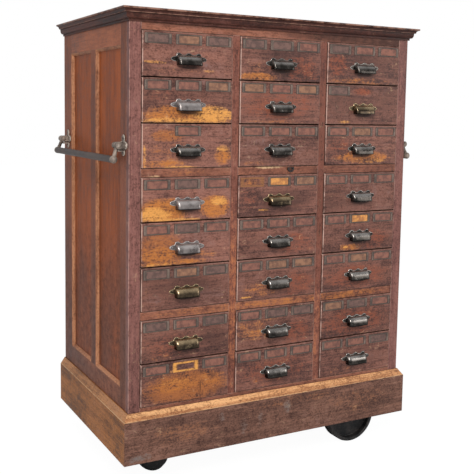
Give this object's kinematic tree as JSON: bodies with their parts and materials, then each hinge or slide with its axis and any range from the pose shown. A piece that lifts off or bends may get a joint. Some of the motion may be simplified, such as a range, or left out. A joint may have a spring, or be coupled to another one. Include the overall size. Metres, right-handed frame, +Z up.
{
  "type": "seed storage cabinet",
  "caption": "Wheeled wooden cabinet of small drawers with cup pulls and label frames, a moulded cornice, panelled sides, lifting handles and iron wheels.",
  "frame": {"origin": "on the floor, in the middle of the bounding box", "axes": "+X to the cabinet's right, +Y to its back, +Z up"},
  "size_m": [1.0952, 0.654, 1.4215],
  "materials": {
    "varnished_case": "worn dark red-brown varnish",
    "varnished_panel": "worn red-brown varnish",
    "varnished_moulding": "dark red-brown varnish",
    "varnished_plinth": "scuffed dark varnish",
    "varnished_drawer": "dark varnish with worn patches",
    "raw_timber": "unfinished aged pine",
    "black_iron": "worn black",
    "plain_iron": "bare and oily",
    "grey_steel": "dull grey, worn by hands"
  },
  "bodies": {
    "case": {"top_board": "varnished_case", "cornice": "varnished_moulding", "face_stiles": "varnished_case", "mullions": "varnished_case", "top_rail": "varnished_case", "mid_rails": "varnished_case", "bottom_rail": "varnished_case", "left_side_frame": "varnished_case", "left_side_panels": "varnished_panel", "right_side_frame": "varnished_case", "right_side_panels": "varnished_panel", "back_frame": "raw_timber", "back_panels": "raw_timber", "partitions": "raw_timber", "drawer_runners": "raw_timber", "plinth_front": "varnished_plinth", "plinth_left": "varnished_plinth", "plinth_right": "varnished_plinth", "plinth_back": "raw_timber", "base_floor": "raw_timber", "chassis_beams": "raw_timber", "axle": "plain_iron", "axle_brackets": "black_iron", "caster_plates": "black_iron", "left_handle_brackets": "black_iron", "right_handle_brackets": "black_iron", "rail_catch": "black_iron"},
    "wheel_front": {"wheel_front": "black_iron"},
    "wheel_back": {"wheel_back": "black_iron"},
    "caster_fork_front": {"caster_fork_front": "black_iron"},
    "caster_fork_back": {"caster_fork_back": "black_iron"},
    "caster_wheel_front": {"caster_wheel_front": "black_iron"},
    "caster_wheel_back": {"caster_wheel_back": "black_iron"},
    "left_handle": {"left_handle": "grey_steel"},
    "right_handle": {"right_handle": "grey_steel"},
    "drawer_r1_c1": {"drawer_r1_c1": "varnished_drawer"},
    "drawer_r1_c2": {"drawer_r1_c2": "varnished_drawer"},
    "drawer_r1_c3": {"drawer_r1_c3": "varnished_drawer"},
    "drawer_r2_c1": {"drawer_r2_c1": "varnished_drawer"},
    "drawer_r2_c2": {"drawer_r2_c2": "varnished_drawer"},
    "drawer_r2_c3": {"drawer_r2_c3": "varnished_drawer"},
    "drawer_r3_c1": {"drawer_r3_c1": "varnished_drawer"},
    "drawer_r3_c2": {"drawer_r3_c2": "varnished_drawer"},
    "drawer_r3_c3": {"drawer_r3_c3": "varnished_drawer"},
    "drawer_r4_c1": {"drawer_r4_c1": "varnished_drawer"},
    "drawer_r4_c2": {"drawer_r4_c2": "varnished_drawer"},
    "drawer_r4_c3": {"drawer_r4_c3": "varnished_drawer"},
    "drawer_r5_c1": {"drawer_r5_c1": "varnished_drawer"},
    "drawer_r5_c2": {"drawer_r5_c2": "varnished_drawer"},
    "drawer_r5_c3": {"drawer_r5_c3": "varnished_drawer"},
    "drawer_r6_c1": {"drawer_r6_c1": "varnished_drawer"},
    "drawer_r6_c2": {"drawer_r6_c2": "varnished_drawer"},
    "drawer_r6_c3": {"drawer_r6_c3": "varnished_drawer"},
    "drawer_r7_c1": {"drawer_r7_c1": "varnished_drawer"},
    "drawer_r7_c2": {"drawer_r7_c2": "varnished_drawer"},
    "drawer_r7_c3": {"drawer_r7_c3": "varnished_drawer"},
    "drawer_r8_c1": {"drawer_r8_c1": "varnished_drawer"},
    "drawer_r8_c2": {"drawer_r8_c2": "varnished_drawer"},
    "drawer_r8_c3": {"drawer_r8_c3": "varnished_drawer"}
  },
  "joints": [
    {"name": "front_wheel_turn", "type": "hinge", "parent": "case", "child": "wheel_front", "pos_m": [0.337, -0.243, 0.092], "axis": [0, 1, 0], "continuous": true},
    {"name": "back_wheel_turn", "type": "hinge", "parent": "case", "child": "wheel_back", "pos_m": [0.337, 0.271, 0.092], "axis": [0, 1, 0], "continuous": true},
    {"name": "front_caster_swivel", "type": "hinge", "parent": "case", "child": "caster_fork_front", "pos_m": [-0.3545, -0.1845, 0.113], "axis": [0, 0, 1], "continuous": true},
    {"name": "front_caster_roll", "type": "hinge", "parent": "caster_fork_front", "child": "caster_wheel_front", "pos_m": [-0.37006, -0.16894, 0.052], "axis": [0.7071, 0.7071, 0], "continuous": true},
    {"name": "back_caster_swivel", "type": "hinge", "parent": "case", "child": "caster_fork_back", "pos_m": [-0.3545, 0.193, 0.113], "axis": [0, 0, 1], "continuous": true},
    {"name": "back_caster_roll", "type": "hinge", "parent": "caster_fork_back", "child": "caster_wheel_back", "pos_m": [-0.37517, 0.18548, 0.052], "axis": [-0.342, 0.9397, 0], "continuous": true},
    {"name": "left_handle_lift", "type": "hinge", "parent": "case", "child": "left_handle", "pos_m": [-0.522, 0, 1.033], "axis": [0, 1, 0], "range_deg": [0, 140]},
    {"name": "right_handle_lift", "type": "hinge", "parent": "case", "child": "right_handle", "pos_m": [0.522, 0, 1.033], "axis": [0, -1, 0], "range_deg": [0, 140]},
    {"name": "slide_r1_c1", "type": "slide", "parent": "case", "child": "drawer_r1_c1", "axis": [0, -1, 0], "range_m": [0, 0.43]},
    {"name": "slide_r1_c2", "type": "slide", "parent": "case", "child": "drawer_r1_c2", "axis": [0, -1, 0], "range_m": [0, 0.43]},
    {"name": "slide_r1_c3", "type": "slide", "parent": "case", "child": "drawer_r1_c3", "axis": [0, -1, 0], "range_m": [0, 0.43]},
    {"name": "slide_r2_c1", "type": "slide", "parent": "case", "child": "drawer_r2_c1", "axis": [0, -1, 0], "range_m": [0, 0.43]},
    {"name": "slide_r2_c2", "type": "slide", "parent": "case", "child": "drawer_r2_c2", "axis": [0, -1, 0], "range_m": [0, 0.43]},
    {"name": "slide_r2_c3", "type": "slide", "parent": "case", "child": "drawer_r2_c3", "axis": [0, -1, 0], "range_m": [0, 0.43]},
    {"name": "slide_r3_c1", "type": "slide", "parent": "case", "child": "drawer_r3_c1", "axis": [0, -1, 0], "range_m": [0, 0.43]},
    {"name": "slide_r3_c2", "type": "slide", "parent": "case", "child": "drawer_r3_c2", "axis": [0, -1, 0], "range_m": [0, 0.43]},
    {"name": "slide_r3_c3", "type": "slide", "parent": "case", "child": "drawer_r3_c3", "axis": [0, -1, 0], "range_m": [0, 0.43]},
    {"name": "slide_r4_c1", "type": "slide", "parent": "case", "child": "drawer_r4_c1", "axis": [0, -1, 0], "range_m": [0, 0.43]},
    {"name": "slide_r4_c2", "type": "slide", "parent": "case", "child": "drawer_r4_c2", "axis": [0, -1, 0], "range_m": [0, 0.43]},
    {"name": "slide_r4_c3", "type": "slide", "parent": "case", "child": "drawer_r4_c3", "axis": [0, -1, 0], "range_m": [0, 0.43]},
    {"name": "slide_r5_c1", "type": "slide", "parent": "case", "child": "drawer_r5_c1", "axis": [0, -1, 0], "range_m": [0, 0.43]},
    {"name": "slide_r5_c2", "type": "slide", "parent": "case", "child": "drawer_r5_c2", "axis": [0, -1, 0], "range_m": [0, 0.43]},
    {"name": "slide_r5_c3", "type": "slide", "parent": "case", "child": "drawer_r5_c3", "axis": [0, -1, 0], "range_m": [0, 0.43]},
    {"name": "slide_r6_c1", "type": "slide", "parent": "case", "child": "drawer_r6_c1", "axis": [0, -1, 0], "range_m": [0, 0.43]},
    {"name": "slide_r6_c2", "type": "slide", "parent": "case", "child": "drawer_r6_c2", "axis": [0, -1, 0], "range_m": [0, 0.43]},
    {"name": "slide_r6_c3", "type": "slide", "parent": "case", "child": "drawer_r6_c3", "axis": [0, -1, 0], "range_m": [0, 0.43]},
    {"name": "slide_r7_c1", "type": "slide", "parent": "case", "child": "drawer_r7_c1", "axis": [0, -1, 0], "range_m": [0, 0.43]},
    {"name": "slide_r7_c2", "type": "slide", "parent": "case", "child": "drawer_r7_c2", "axis": [0, -1, 0], "range_m": [0, 0.43]},
    {"name": "slide_r7_c3", "type": "slide", "parent": "case", "child": "drawer_r7_c3", "axis": [0, -1, 0], "range_m": [0, 0.43]},
    {"name": "slide_r8_c1", "type": "slide", "parent": "case", "child": "drawer_r8_c1", "axis": [0, -1, 0], "range_m": [0, 0.43]},
    {"name": "slide_r8_c2", "type": "slide", "parent": "case", "child": "drawer_r8_c2", "axis": [0, -1, 0], "range_m": [0, 0.43]},
    {"name": "slide_r8_c3", "type": "slide", "parent": "case", "child": "drawer_r8_c3", "axis": [0, -1, 0], "range_m": [0, 0.43]}
  ]
}
